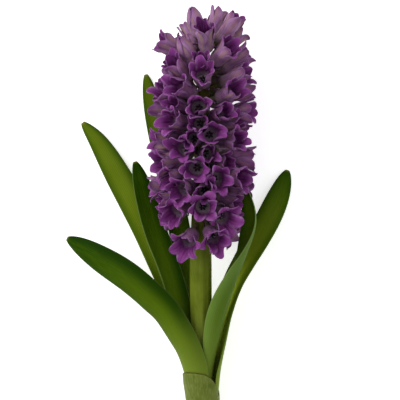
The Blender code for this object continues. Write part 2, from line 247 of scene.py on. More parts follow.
studio = {
    "lookFrom": 0.933, "lens": 135.0, "lookAt": (0.0, 135.0),
    "keyPower": 11.5, "keySize": 1.3, "keyPlace": (-0.75, 0.42, 0.8),
    "fillPower": 2.6, "fillSize": 1.4, "fillPlace": (0.7, 0.1, 0.9),
    "sky": "#f4f6fa", "skyStrength": 0.5,
    "floorSize": 6000.0, "floorTint": "#f7f7f6", "floorGlow": 0.62,
    "floorGrain": 0.985, "grainScale": 9.0,
}


def makeStudio():
    scene = bpy.context.scene
    scene.view_settings.view_transform = "Standard"
    camera = bpy.data.cameras.new("camera")
    camera.lens, camera.sensor_width = studio["lens"], 36.0
    scene.camera = newObject("camera", camera)
    middle = (plantOrigin[:2] + np.array(studio["lookAt"])) * mm
    scene.camera.location = (middle[0], middle[1], studio["lookFrom"])
    for name in ("key", "fill"):
        lamp = bpy.data.lights.new(name + "Light", "AREA")
        lamp.shape, lamp.size = "DISK", studio[name + "Size"]
        lamp.energy = studio[name + "Power"]
        stand = newObject(name + "Light", lamp)
        stand.location = Vector(studio[name + "Place"])
        stand.rotation_euler = (-stand.location).to_track_quat("-Z", "Y").to_euler()
    world = bpy.data.worlds.new("softBox")
    world.use_nodes = True
    backdrop = next(n for n in world.node_tree.nodes if n.type == "BACKGROUND")
    backdrop.inputs["Color"].default_value = tint(studio["sky"])
    backdrop.inputs["Strength"].default_value = studio["skyStrength"]
    scene.world = world
    paper, skin = newMaterial("paleFloor", 0.9)
    base = tint(studio["floorTint"])
    darker = tuple(studio["floorGrain"] * c for c in base[:3]) + (1.0,)
    grain = noise(objectPlace(), studio["grainScale"])
    link(mixed(grain, base, darker), skin.inputs["Base Color"])
    skin.inputs["Emission Color"].default_value = base       # lit from below like a light table
    skin.inputs["Emission Strength"].default_value = studio["floorGlow"]
    half = studio["floorSize"] / 2
    mesh = newMesh("floor", [(-half, -half, 0), (half, -half, 0), (half, half, 0), (-half, half, 0)],
                   [], [(0, 1, 2, 3)])
    mesh.materials.append(paper)
    newObject("floor", mesh)


makeStudio()
print("studio ready, plant starts at", plantOrigin.round(2))


# path: points along the middle of the blade; turn and ring: where its base sits round the stalk;
# channel: half the angle of its hollow, faces: where the hollow side looks, both at base, middle, tip;
# taper: where it starts to narrow; glow: painted light, how yellow the light shining through makes it at
# base, middle and tip, and over 1 also lifting a base that lies in shade;
# bloom: grey wax on the outer side; shade: which margin gets painted shade and how much; rim: pale margin,
# partly its own colour and partly a painted highlight
leaves = {
    "leaf_front_left": {
        "ring": 1, "turn": 124, "half": 10.2, "taper": 0.56,
        "path": [(-9.8, 47, 30.3), (-20, 65.5, 32), (-30.3, 76.5, 32), (-45, 89, 30),
                 (-63, 100.6, 25), (-81, 111.5, 17)],
        "channel": (56, 32, 16), "faces": (304, 303, 308),
        "glow": (0.6, 0.3, 0.0), "bloom": 0.0, "shade": -1.0, "rim": 0.3},
    "leaf_back_left": {
        "ring": 0, "turn": 240, "half": 8.8, "taper": 0.6,
        "path": [(-5, 48, 11.2), (-13.4, 74, 12.4), (-22.5, 94, 12), (-35, 121, 9.5),
                 (-49.8, 148.5, 5.5), (-62.4, 170, 2.8), (-72.8, 183, 1.2)],
        "channel": (41, 22, 14), "faces": (62, 80, 86),
        "glow": (1.0, 1.1, 0.6), "bloom": 0.3, "shade": 0.35, "rim": 0.25},
    "leaf_side_left": {
        "ring": 0, "turn": 146, "half": 8.3, "taper": 0.62,
        "path": [(-8.5, 48, 20.2), (-13.6, 72, 18.7), (-20.2, 94, 17.8), (-27.4, 114, 15.8),
                 (-33, 134, 14.6), (-39.8, 158.5, 14.6)],
        "channel": (39, 38, 22), "faces": (-34, 54, 68),
        "glow": (0.4, 0.25, 0.0), "bloom": 0.5, "shade": 0.9, "rim": 0.6},
    "leaf_back": {
        "ring": 1, "turn": 252, "half": 6.8, "taper": 0.72,
        "path": [(-0.8, 50, 6.6), (-6.4, 80, 3.6), (-13, 118, 1.6), (-22, 160, 1.2),
                 (-29, 191, 1.0), (-33.6, 213, 1.0)],
        "channel": (44, 12, 6), "faces": (72, 90, 90),
        "glow": (0.2, 0.2, 0.6), "bloom": 0.3, "shade": 0.3, "rim": 0.3},
    "leaf_side_right": {
        "ring": 0, "turn": 40, "half": 9.4, "taper": 0.62,
        "path": [(9, 48, 27), (13.2, 68, 31), (21, 88, 34), (28, 106, 36),
                 (31.2, 122, 36), (28.2, 140, 33.5)],
        "channel": (48, 60, 46), "faces": (215, 222, 132),
        "glow": (0.3, 0.35, 0.25), "bloom": 1.0, "shade": 0.0, "rim": 0.7},
    "leaf_back_right": {
        "ring": 1, "turn": 350, "half": 8.1, "taper": 0.72,
        "path": [(13.4, 46, 17), (15, 66, 16.5), (20.4, 83, 15.5), (27.6, 97, 13.5), (35.6, 111, 11),
                 (43, 125, 7.8), (49.4, 139.5, 4.2), (54.4, 153.5, 1.8)],
        "channel": (47, 24, 12), "faces": (170, 132, 92),
        "glow": (1.7, 1.45, 0.0), "bloom": 0.4, "shade": -0.3, "rim": 0.2},
}

leafMake = {
    "rows": 66, "tipRows": 12, "tipFrom": 0.88, "tipCrowding": 1.6, "across": 21,
    "baseAt": (0.0, 14.0, 28.0),
    "bundleTop": 34.0, "freeFrom": 0.16, "openAt": 0.45, "squareCut": 0.12,
    "taperPower": 3.0, "taperRound": 0.62, "tipLeft": 0.985,
    "middleThicker": 0.85, "thickens": (0.16, 0.41), "tipThinner": 0.6, "thins": (0.7, 1.0),
    "edgeThin": 0.35, "veinsFade": (0.2, 0.4),
    "veinEvery": 1.15, "veinDepth": 0.05, "midribDepth": 0.16, "midribWide": 0.9,
}


def spline(points, wanted):
    padded = [2 * points[0] - points[1]] + list(points) + [2 * points[-1] - points[-2]]
    dense = []
    for k in range(1, len(padded) - 2):
        p0, p1, p2, p3 = padded[k - 1:k + 3]
        for t in np.linspace(0, 1, plant["perSpan"], endpoint=False):
            dense.append(0.5 * (2 * p1 + (p2 - p0) * t + (2 * p0 - 5 * p1 + 4 * p2 - p3) * t ** 2
                                + (3 * p1 - p0 - 3 * p2 + p3) * t ** 3))
    dense = np.array(dense + [padded[-2]])
    run = np.concatenate([[0], np.cumsum(np.linalg.norm(np.diff(dense, axis=0), axis=1))])
    return np.stack([np.interp(wanted * run[-1], run, dense[:, k]) for k in range(3)], axis=1)


def threeWay(values, s):
    base, middle, tip = values
    opened = eased(s, leafMake["freeFrom"], leafMake["openAt"])
    return between(base, middle, opened) + (tip - middle) * eased(s, leafMake["openAt"], 1)


def leafShell(leaf):
    d = leafMake
    base = [axisAt(y) + baseRadius(y, leaf["ring"]) * around(leaf["turn"]) for y in d["baseAt"]]
    toTip = 1 - np.linspace(0, 1, d["tipRows"] + 1)[1:]
    tipAt = 1 - (1 - d["tipFrom"]) * toTip ** d["tipCrowding"]
    s = np.append(np.linspace(0, d["tipFrom"], d["rows"]), tipAt)
    centres = spline(base + [np.array(p, float) for p in leaf["path"]], s)
    step = np.gradient(centres, axis=0)
    own = eased(s, 0, d["squareCut"])[:, None]
    ahead = unit(unit(step) * own + np.array([0.0, 1.0, 0.0]) * (1 - own))
    hollow = around(threeWay(leaf["faces"], s))
    hollow = unit(hollow - (hollow * ahead).sum(axis=1, keepdims=True) * ahead)
    across = np.cross(ahead, hollow)
    taper = np.clip((s - leaf["taper"]) / (1 - leaf["taper"]), 0, 1) * d["tipLeft"]
    ringAt = baseRadius(np.minimum(centres[:, 1], d["bundleTop"]), leaf["ring"])
    half = threeWay((ringAt * math.radians(leaf["channel"][0]), leaf["half"], leaf["half"]), s)
    half = half * (1 - taper ** d["taperPower"]) ** d["taperRound"]
    bend = np.radians(threeWay(leaf["channel"], s))
    thick = plant["leafThick"] + d["middleThicker"] * eased(s, *d["thickens"])
    thick = thick - d["tipThinner"] * eased(s, *d["thins"])
    free = eased(s, *d["veinsFade"])
    half, bend, thick, free, curve = (part[:, None] for part in (half, bend, thick, free, half / bend))
    spread = np.sin(np.linspace(-math.pi / 2, math.pi / 2, d["across"]))
    points, layers = [], []
    for side in (1, -1):
        q = (spread if side > 0 else -spread)[:-1]
        angle = bend * q
        local = hollow[:, None] * np.cos(angle)[..., None] - across[:, None] * np.sin(angle)[..., None]
        middle = centres[:, None] + across[:, None] * (curve * np.sin(angle))[..., None]
        middle = middle + hollow[:, None] * (curve * (1 - np.cos(angle)))[..., None]
        rounded = (1 - d["edgeThin"] * q * q) * np.sqrt(1 - np.clip(np.abs(q), 0, 1) ** 9)
        offset = thick / 2 * rounded * side
        fromMiddle = q * half
        veins = np.cos(fromMiddle * 2 * math.pi / d["veinEvery"]) * d["veinDepth"] * (1 - q * q)
        groove = np.exp(-(fromMiddle / d["midribWide"]) ** 2) * d["midribDepth"]
        offset = offset + (veins * side - groove) * free * (half / leaf["half"])
        points.append(middle + local * offset[..., None])
        layers.append([part + 0 * angle for part in (s[:, None], q, 0.5 + 0.5 * side, fromMiddle)])
    points = np.concatenate(points, axis=1)
    rows, sides = points.shape[:2]
    values = [np.concatenate(v, axis=1).ravel() for v in zip(*layers)]
    return points.reshape(-1, 3), rows, sides, values


def makeLeafSkin():
    made, skin = newMaterial("leafSkin", 0.5, Specular_IOR_Level=0.02)
    along, across, inner, glow, bloom, rim, shade, wide = attributes(
        "along", "across", "innerFace", "glow", "bloom", "paleRim", "shade", "fromMiddle")
    streaks = noise(joined(wide, times(along, 12.0), inner), 1.1, 3.0, 0.6)
    cloud = noise(objectPlace(), 55.0)
    veins = maths("SINE", times(wide, 2 * math.pi / leafMake["veinEvery"]))
    away = maths("ABSOLUTE", across)
    late = ramp(plus(along, times(cloud, 0.3)), 0.45, 1.05)
    # painted light: yellow light shining through the blade, as strong as glow says
    lit = times(glow, ramp(away, 1.05, 0.3, 0.25, 0.95))
    wax = times(maths("SUBTRACT", 1.0, inner), bloom)
    # painted shade: the margin that shade names is darkened, as where it turns away from the light
    paintedShade = times(ramp(shade, -0.1, 0.8, 0.0, 0.9), ramp(along, 0.12, 0.5, 0.35, 1.0))
    green = layered(
        mixed(late, "#425c04", "#1c3c00"),
        (ramp(cloud, 0.35, 0.65, 0.0, 0.4), "#2c5002"),
        (ramp(streaks, 0.35, 0.75, 0.0, 0.25), "#55700c"),
        (ramp(veins, 0.2, 1.0, 0.0, 0.12), "#142c02"),
        (lit, mixed(cloud, "#667a0e", "#748620")),
        # painted light where glow goes over 1, lifting leaf bases that lie in shade
        (ramp(lit, 0.95, 1.4, 0.0, 0.8), "#9cb230"),
        (times(wax, ramp(cloud, 0.3, 0.8, 0.6, 0.85)),
         mixed(ramp(away, 0.2, 0.9), "#526e26", "#6a863c")),
        (paintedShade, "#143000"),
        (ramp(along, 0.52, 0.06, 0.0, 0.85), "#788a30"),
        # pale margin, partly its own paler edge and partly a painted highlight where the edge turns away
        (times(ramp(away, 0.93, 0.99), rim, 0.5), "#8a9c60"),
        (times(ramp(along, 0.99, 1.0), 0.7), "#8a7c44"))
    link(ramp(streaks, 0.3, 0.7, 0.42, 0.55), skin.inputs["Roughness"])
    finishSkin(skin, green, plus(times(veins, 0.35), streaks), 0.25, 0.0003)
    return made


def makeFleshSkin():
    # the cut ends: pale wet flesh with darker strands
    made, skin = newMaterial("cutFlesh", 0.5)
    place = objectPlace()
    cells = put("ShaderNodeTexVoronoi", {"Vector": place, "Scale": 1500.0}).outputs["Distance"]
    spots = noise(place, 420.0, 4.0)
    flesh = layered(mixed(ramp(spots, 0.35, 0.7), "#b3bd7c", "#8d9c4f"),
                    (ramp(cells, 0.25, 0.0, 0.0, 0.6), "#6c7a33"))
    finishSkin(skin, flesh, cells, 0.3, 0.0002)
    return made


leafSkin, cutFlesh = makeLeafSkin(), makeFleshSkin()


def makeLeaves():
    for name, leaf in leaves.items():
        points, rows, sides, (s, q, inner, wide) = leafShell(leaf)
        faces = ringFaces(rows, sides)
        kinds = [0] * len(faces) + [1, 0]
        faces += [tuple(range(sides)), tuple(range((rows - 1) * sides, rows * sides))]
        values = {
            "along": s, "across": q, "innerFace": inner, "fromMiddle": wide, "shade": q * leaf["shade"],
            "glow": np.interp(s, [0, 0.5, 1], leaf["glow"]),
            "bloom": 0 * s + leaf["bloom"], "paleRim": 0 * s + leaf["rim"]}
        piece = newPiece(name.title().replace("_", "").replace("Leaf", "leaf"), points, faces,
                         [leafSkin, cutFlesh], values, kinds)
        handIn(piece, "leaf", name)


makeLeaves()
print("leaves:", len(leaves))


stalk = {
    "rows": 150, "sides": 64, "ridges": 9, "ridgeDepth": 0.16, "wander": 0.12, "seed": 4,
}


def makeStalkSkin():
    made, skin = newMaterial("stalkSkin", 0.5, Specular_IOR_Level=0.08)
    along, turn = attributes("along", "turn")
    streaks = noise(objectPlace((1.0, 0.08, 1.0)), 900.0, 3.0)
    cloud = noise(objectPlace(), 90.0)
    brown = times(ramp(along, 0.38, 0.62), ramp(cloud, 0.2, 0.7, 0.55, 0.95))
    green = layered(
        mixed(ramp(cloud, 0.3, 0.7), "#66741a", "#586610"),
        (ramp(streaks, 0.4, 0.75, 0.0, 0.4), "#707c30"),
        (brown, "#33240a"),
        # paler towards the cut: partly its own paler base, partly painted light lifting the shade that the
        # leaves cast on it
        (ramp(along, 0.34, 0.12, 0.0, 0.9), "#a0ac4c"))
    ridges = maths("SINE", times(turn, 2 * math.pi * 27))
    finishSkin(skin, green, plus(times(ridges, 0.2), streaks), 0.22, 0.0003)
    return made


def newTree(name, inputs):
    # has a socket for every input, of the same kind as its value
    tree = building["tree"] = bpy.data.node_groups.new(name, "GeometryNodeTree")
    for end in ("INPUT", "OUTPUT"):
        tree.interface.new_socket("Geometry", in_out=end, socket_type="NodeSocketGeometry")
    for label, start in inputs.items():
        kind = {int: "Int", float: "Float"}.get(type(start), "Material")
        made = tree.interface.new_socket(label, in_out="INPUT", socket_type="NodeSocket" + kind)
        made.default_value = start
    return tree, put("NodeGroupInput").outputs, put("NodeGroupOutput").inputs["Geometry"]


def runTree(carrier, tree, inputs, name):
    # sets the inputs, evaluates once and keeps the result as a plain mesh
    modifier = carrier.modifiers.new(tree.name, "NODES")
    modifier.node_group = tree
    for socket in tree.interface.items_tree:
        if socket.in_out == "INPUT" and socket.name in inputs:
            modifier[socket.identifier] = inputs[socket.name]
    graph = bpy.context.evaluated_depsgraph_get()
    mesh = bpy.data.meshes.new_from_object(carrier.evaluated_get(graph), depsgraph=graph)
    bpy.data.objects.remove(carrier)
    mesh.name = name
    return newObject(name, mesh)


def named(name, kind="FLOAT"):
    return put("GeometryNodeInputNamedAttribute", {"Name": name}, data_type=kind).outputs["Attribute"]


def stored(geometry, name, amount):
    return put("GeometryNodeStoreNamedAttribute", {"Geometry": geometry, "Name": name,
               "Value": amount}, data_type="FLOAT", domain="POINT").outputs[0]


def finished(given, geometry):
    real = put("GeometryNodeRealizeInstances", {"Geometry": geometry})
    soft = put("GeometryNodeSetShadeSmooth", {"Geometry": real.outputs[0], "Shade Smooth": True})
    return put("GeometryNodeSetMaterial", {"Geometry": soft.outputs[0],
               "Material": given["Skin"]}).outputs[0]


def makeStalkTree(inputs):
    # sweeps a ribbed ring along the stalk's own line, as thick as its "girth" says
    tree, given, result = newTree("stalkTree", inputs)
    line = put("GeometryNodeMeshToCurve", {"Mesh": given["Geometry"]})
    ring = put("GeometryNodeCurvePrimitiveCircle", {"Resolution": given["Sides"],
               "Radius": 1.0})
    keptLine, keptRing = [
        stored(shape.outputs[0], name, put("GeometryNodeSplineParameter").outputs["Factor"])
        for shape, name in ((line, "along"), (ring, "turn"))]
    tube = put("GeometryNodeCurveToMesh", {"Curve": keptLine, "Profile Curve": keptRing,
               "Scale": named("girth"), "Fill Caps": True})
    angle = times(named("turn"), 2 * math.pi, given["Ridges"])
    ridge = times(maths("COSINE", angle), given["Ridge Depth"])
    rough = put("ShaderNodeTexNoise", {"W": given["Seed"], "Scale": 160.0},
                noise_dimensions="4D").outputs["Fac"]
    bumps = times(maths("SUBTRACT", rough, 0.5), given["Wander"])
    normal = put("GeometryNodeInputNormal").outputs[0]
    push = put("ShaderNodeVectorMath", {0: normal, "Scale": plus(ridge, bumps)},
               operation="SCALE")
    moved = put("GeometryNodeSetPosition", {"Geometry": tube.outputs[0], "Offset": push.outputs[0]})
    painted = finished(given, moved.outputs[0])
    facing = put("ShaderNodeSeparateXYZ", {0: normal})
    atCut = put("FunctionNodeCompare", {0: facing.outputs["Y"], 1: -0.8}, data_type="FLOAT",
                operation="LESS_THAN").outputs[0]
    cut = put("GeometryNodeSetMaterial", {"Geometry": painted, "Selection": atCut,
              "Material": given["Flesh"]})
    link(cut.outputs[0], result)
    return tree


def makeStalk():
    y = np.linspace(0.0, plant["stations"][-1], stalk["rows"])
    line = newMesh("stalkLine", axisAt(y) + plantOrigin, [(k, k + 1) for k in range(len(y) - 1)], [],
                   girth=stalkRadius(y) * mm)
    inputs = {
        "Sides": stalk["sides"], "Ridges": stalk["ridges"], "Ridge Depth": stalk["ridgeDepth"] * mm,
        "Wander": stalk["wander"] * mm, "Seed": stalk["seed"], "Skin": makeStalkSkin(),
        "Flesh": cutFlesh}
    handIn(runTree(newObject("stalkLine", line), makeStalkTree(inputs), inputs, "stalk"),
           "stalk", "flower_stalk")


makeStalk()
print("stalk ready")


sheath = {
    "length": 26.2, "slant": 4.5, "highSide": 120.0,
    "notch": 10.0, "notchSide": 12.0, "notchWide": 36.0, "wall": 0.7, "rimThinner": 0.55, "gap": 0.5,
    "sides": 96, "rows": 16, "ragged": 0.7, "seed": 12,
}


def makeSheathSkin():
    made, skin = newMaterial("sheathSkin", 0.55, Specular_IOR_Level=0.08)
    along, turn = attributes("along", "turn")
    streaks = noise(objectPlace((1.0, 0.06, 1.0)), 800.0, 3.0)
    cloud = noise(objectPlace(), 120.0)
    green = layered(
        mixed(ramp(cloud, 0.3, 0.7), "#66722c", "#58661e"),
        (ramp(streaks, 0.4, 0.7, 0.0, 0.5), "#7c8848"),
        (ramp(plus(along, times(streaks, 0.03)), 0.99, 1.01), "#4a3818"))
    lines = maths("SINE", times(turn, 2 * math.pi * 60))
    finishSkin(skin, green, plus(times(lines, 0.3), streaks), 0.25, 0.0002)
    return made


def makeSheath():
    d = sheath
    draw = np.random.default_rng(d["seed"])
    turn = np.arange(d["sides"]) * 360.0 / d["sides"]
    ragged = sum(draw.uniform(-1, 1) * np.cos(np.radians(turn * n) + draw.uniform(0, 6)) / n ** 0.5
                 for n in (2, 3, 5, 9, 14, 23)) * d["ragged"] / 3
    fromNotch = (turn - d["notchSide"] + 180) % 360 - 180
    notch = d["notch"] * np.exp(-(fromNotch / d["notchWide"]) ** 2)
    top = d["length"] + d["slant"] * np.cos(np.radians(turn - d["highSide"])) - notch + ragged
    at = np.linspace(0, 1, d["rows"])
    walls = [(a, d["wall"] * (1 - d["rimThinner"] * eased(a, 0.8, 1))) for a in at]
    walls += [(a, 0.0) for a in at[::-1]]
    along, wall = np.array(walls).T[..., None]
    y = along * top
    radius = baseRadius(y, 1) + plant["leafThick"] / 2 + d["gap"] + wall
    points = (axisAt(y) + radius[..., None] * around(turn)).reshape(-1, 3)
    faces = ringFaces(len(walls), d["sides"])
    last = (len(walls) - 1) * d["sides"]
    faces += [(last + k, last + (k + 1) % d["sides"], (k + 1) % d["sides"], k) for k in range(d["sides"])]
    values = {"along": (along + 0 * y).ravel(), "turn": (turn / 360 + 0 * y).ravel()}
    handIn(newPiece("sheath", points, faces, [makeSheathSkin()], values), "sheath", "basal_sheath")


makeSheath()
print("sheath ready")


floret = {
    # distance along and radius of the tube, from the foot of the pedicel
    "tube": [(0.0, 1.15), (2.6, 1.2), (4.6, 1.6), (6.4, 3.0), (8.4, 4.4), (10.5, 4.7), (13.0, 4.5),
             (15.0, 4.8)],
    "tubeRows": 17, "rimRadius": 4.8, "rimAt": 15.0, "throatAt": 11.0, "throatRows": 6, "whole": 28,
    # for reading a solid: where to cut it, and how long and how wide at the mouth such florets are
    "middle": 12.0, "footSlice": 0.05, "tipSlice": 1.4, "budReach": 26.3, "cupReach": 27.5,
    "openLoses": 1.7, "mouthShut": 5.8, "mouthRange": 3.5,
    "lobeAt": [0.07, 0.16, 0.27, 0.39, 0.51, 0.63, 0.74, 0.83, 0.9, 0.95, 0.985, 1.0],
    "lobeSteps": 80, "lobeLength": (13.4, 13.0),        # closed and wide open, as curl is too
    "leanAtRim": 7.0, "leanBud": -43.0, "leanCup": 2.0, "leanOpen": 33.0, "leanOldest": 60.0,
    "leanMost": 74.0, "innerLess": 3.0, "flare": 1.6, "oldestAt": (118.0, 142.0),
    "curl": (-8.0, 26.0), "curlDraw": 8.0,
    "halfOuter": 4.5, "halfInner": 4.9, "apart": 0.42, "budNarrow": 0.86, "openNarrow": 0.1,
    "pointFrom": 0.4, "pointPower": 2.4, "pointRound": 0.56, "pointBlunt": 0.12,
    "bowBud": 0.26, "bowCup": 0.2, "bowOpen": 0.12,     # how curved a lobe is across
    "wall": 0.62, "edgeWall": 0.34, "tipThinner": 0.3, "flute": 0.035, "fluteFrom": 6.0,
    "keel": 0.26, "crimp": 0.8, "waves": 9, "dent": 0.45,
    "leanDraw": 17.0, "lengthDraw": 0.072, "twistDraw": 15.6, "swayDraw": 1.3, "budDraw": 0.2,
    "nod": 6.0, "nodToLight": 24.0, "bendAt": (3.0, 12.0), "bendSteps": (0, 40, 161), "tiltBack": 0.35,
    # heights on the plant where florets get older, younger, paler and turn into the crown
    "youngAt": (130.0, 200.0), "youngShut": 0.45, "paleAt": (185.0, 230.0),
    "crownAt": (214.0, 238.0), "crownPull": 1.5, "crownShrink": 0.1, "crownClose": 12.0,
    "restBelow": 1.2, "seed": 31,
}
lateFloret = {
    "most": 30, "from": 132.0, "to": 228.0, "stepUp": 4.0, "turns": (-50, 230), "stepRound": 12.0,
    "body": (7, 23, 5), "length": 0.85, "room": 5.3, "reach": 26.5, "fullRoom": 8.0, "sunk": 0.4,
    "overFloor": 8.0, "overLeaves": 13.0, "leavesLeftOf": -3.0, "alike": 9.0,
    "size": (0.78, 0.92), "open": (0.35, 0.8), "seed": 8,
    # small shut buds at the very tip: height, turn, climb and length
    "tipBuds": [(217, -8, 50, 17.0), (222, 165, 58, 15.0), (227, 62, 66, 14.0), (224, -70, 55, 15.0)],
}
perLobe = 8
offAxis = np.array([0.31, 0.87, 0.38])          # any direction that no floret has


def standing(foot, way):
    side = unit(np.cross(way, offAxis))
    return {"foot": foot, "way": way, "side": side, "front": np.cross(way, side)}


def readFloret(name):
    # foot, direction, turn and openness of a floret, measured on its solid
    d, points = floret, nodePoints(name) - plantOrigin
    centre = points.mean(axis=0)
    way = np.linalg.svd(points - centre)[2][0]
    ends = [centre + way * d["middle"], centre - way * d["middle"]]
    fromAxis = [np.linalg.norm(p - axisAt(min(p[1], plant["stations"][-1]))) for p in ends]
    if fromAxis[0] < fromAxis[1]:
        way = -way
    along = (points - centre) @ way
    foot = points[along < along.min() + d["footSlice"]].mean(axis=0)
    found = standing(foot, unit(centre - foot))
    along = (points - foot) @ found["way"]
    tips = points[along > along.max() - d["tipSlice"]] - foot
    x, z = tips @ found["side"], tips @ found["front"]
    found["turn"] = (np.angle(-np.exp(6j * np.arctan2(z, x)).sum())) / 6
    openness = np.clip((np.hypot(x, z).max() - d["mouthShut"]) / d["mouthRange"], 0, 1)
    found["open"] = -1.0 if name.startswith("bud") else openness
    found["reach"] = along.max()
    return found


def drawLobe(lobe, opened, bud, widest, crown, draw):
    # every lobe leans, curls, twists and waves a little in its own way
    d = floret
    outerWhorl = lobe % 2 == 0
    calm = d["budDraw"] if bud else 1.0
    lean = d["leanBud"] if bud else between(d["leanCup"], widest, opened)
    lean += draw.normal() * d["leanDraw"] * (0.25 if bud else 1.0 - 0.5 * crown)
    lean -= 0 if outerWhorl else d["innerLess"]
    lean = min(lean - (0 if bud else d["crownClose"] * crown), d["leanMost"])
    length = between(*d["lobeLength"], opened) * (1 + draw.normal() * d["lengthDraw"])
    full = d["halfOuter"] if outerWhorl else d["halfInner"]
    return {
        "outer": outerWhorl, "lean": lean, "length": length,
        "twist": math.radians(draw.normal() * d["twistDraw"]) * calm,
        "sway": draw.normal() * d["swayDraw"] * calm,
        "curl": between(*d["curl"], opened) + draw.normal() * d["curlDraw"],
        "wave": draw.uniform(0.6, 1.2), "phase": draw.uniform(0, 2 * math.pi, 2),
        "full": full * (d["budNarrow"] if bud else 1 - d["openNarrow"] * opened),
        "flare": 1.0 if bud else d["flare"], "calm": calm,
    }


def lobeSheets(found, lobe, own, opened, bud):
    # outer and inner face of one lobe, as rows of points from the rim to the tip
    d = floret
    s, t = np.array(d["lobeAt"])[:, None], np.linspace(-1, 1, perLobe + 1)
    steps = np.linspace(0, 1, d["lobeSteps"] + 1)
    lean = np.radians(between(d["leanAtRim"], own["lean"], steps ** own["flare"])
                      + (0 if bud else own["curl"]) * eased(steps, 0.6, 1))
    middle = (lean[1:] + lean[:-1]) / 2
    lines = [start + np.concatenate([[0], np.cumsum(part(middle))]) * own["length"] / d["lobeSteps"]
             for start, part in ((d["rimAt"], np.cos), (d["rimRadius"], np.sin))]
    a, r, tilt = (np.interp(s, steps, line) for line in (*lines, lean))
    rootHalf = d["rimRadius"] * math.pi / 6
    half = between(rootHalf, own["full"], eased(s, 0, 0.42))
    taper = np.clip((s - d["pointFrom"]) / (1 - d["pointFrom"]), 0, 1)
    half = half * (1 - taper ** d["pointPower"]) ** d["pointRound"] + d["pointBlunt"]
    bowMiddle = d["bowBud"] if bud else between(d["bowCup"], d["bowOpen"], opened)
    bow = between(1 / d["rimRadius"], bowMiddle, eased(s, 0, 0.4))
    bow = bow + (0.1 + 0.12 * (1 - opened)) * eased(s, 0.6, 1)
    apart = (d["apart"] if own["outer"] else -d["apart"]) * eased(s, 0, 0.3)
    turned = own["twist"] * s ** 2
    centre, way = np.radians(60.0 * lobe) + found["turn"], found["way"]
    out = math.cos(centre) * found["side"] + math.sin(centre) * found["front"]
    wide = -math.sin(centre) * found["side"] + math.cos(centre) * found["front"]
    normal = -np.sin(tilt) * way + np.cos(tilt) * out
    side = np.cos(turned) * wide + np.sin(turned) * normal
    normal = -np.sin(turned) * wide + np.cos(turned) * normal
    line = a * way + (r + apart) * out + own["sway"] * s ** 2 * wide
    angle = half * bow * t
    sheet = line[:, None] + side[:, None] * (np.sin(angle) / bow)[..., None]
    sheet = sheet - normal[:, None] * ((1 - np.cos(angle)) / bow)[..., None]
    facing = normal[:, None] * np.cos(angle)[..., None] + side[:, None] * np.sin(angle)[..., None]
    first, second = own["phase"]
    waves = np.sin(own["wave"] * d["waves"] * s + np.where(t < 0, first, second))
    strength = d["crimp"] * (own["calm"] if bud else 0.45 + 0.55 * opened)
    crimp = strength * eased(s, 0.2, 0.7) * waves * np.abs(t) ** 2.5
    keel = d["keel"] * np.exp(-(t / 0.2) ** 2) * (eased(s, 0, 0.2) * (1 - s ** 3))
    dent = d["dent"] * own["calm"] * np.sin(5.5 * s + first) * np.cos(2.4 * t + second)
    sheet = sheet + facing * (crimp + keel + dent * eased(s, 0, 0.4))[..., None]
    wall = between(d["wall"], d["edgeWall"], t ** 2) * (1 - d["tipThinner"] * eased(s, 0.5, 1))
    along = (d["rimAt"] + s * own["length"]) / d["whole"] + 0 * t
    return sheet, sheet - facing * wall[..., None], along.ravel(), np.tile(np.abs(t), len(s))


def floretFaces(rows):
    # both skins, joined along the edges of the lobes
    def cell(key, row, column):
        return rows[(key, row)] + column % (6 * perLobe)

    faces, lastRow, lastThroat = [], floret["tubeRows"] - 1, floret["throatRows"] - 1
    for key, count in (("outer", lastRow), ("inner", lastThroat)):
        for row in range(count):
            faces += [(cell(key, row, c), cell(key, row, c + 1), cell(key, row + 1, c + 1),
                       cell(key, row + 1, c)) for c in range(6 * perLobe)]
    wide, last = perLobe + 1, len(floret["lobeAt"]) - 1
    for lobe in range(6):
        start, edges = lobe * perLobe - perLobe // 2, []
        for key, rimRow in (("outer", lastRow), ("inner", 0)):
            root = rows[(key + "Lobe", lobe)]
            for j in range(perLobe):
                faces.append((cell(key, rimRow, start + j), cell(key, rimRow, start + j + 1),
                              root + j + 1, root + j))
                for b in range(root + j, root + j + last * wide, wide):
                    faces.append((b, b + 1, b + wide + 1, b + wide))
            edge = [cell(key, rimRow, start)] + [root + row * wide for row in range(last + 1)]
            edge += [root + last * wide + j for j in range(1, perLobe)]
            edge += [root + row * wide + perLobe for row in range(last, -1, -1)]
            edges.append(edge + [cell(key, rimRow, start + perLobe)])
        faces += [(a, b, c, e) for a, b, c, e in zip(edges[0], edges[0][1:], edges[1][1:], edges[1])]
    for key, row in (("outer", 0), ("inner", lastThroat)):
        faces.append(tuple(cell(key, row, c) for c in range(6 * perLobe)))
    return faces


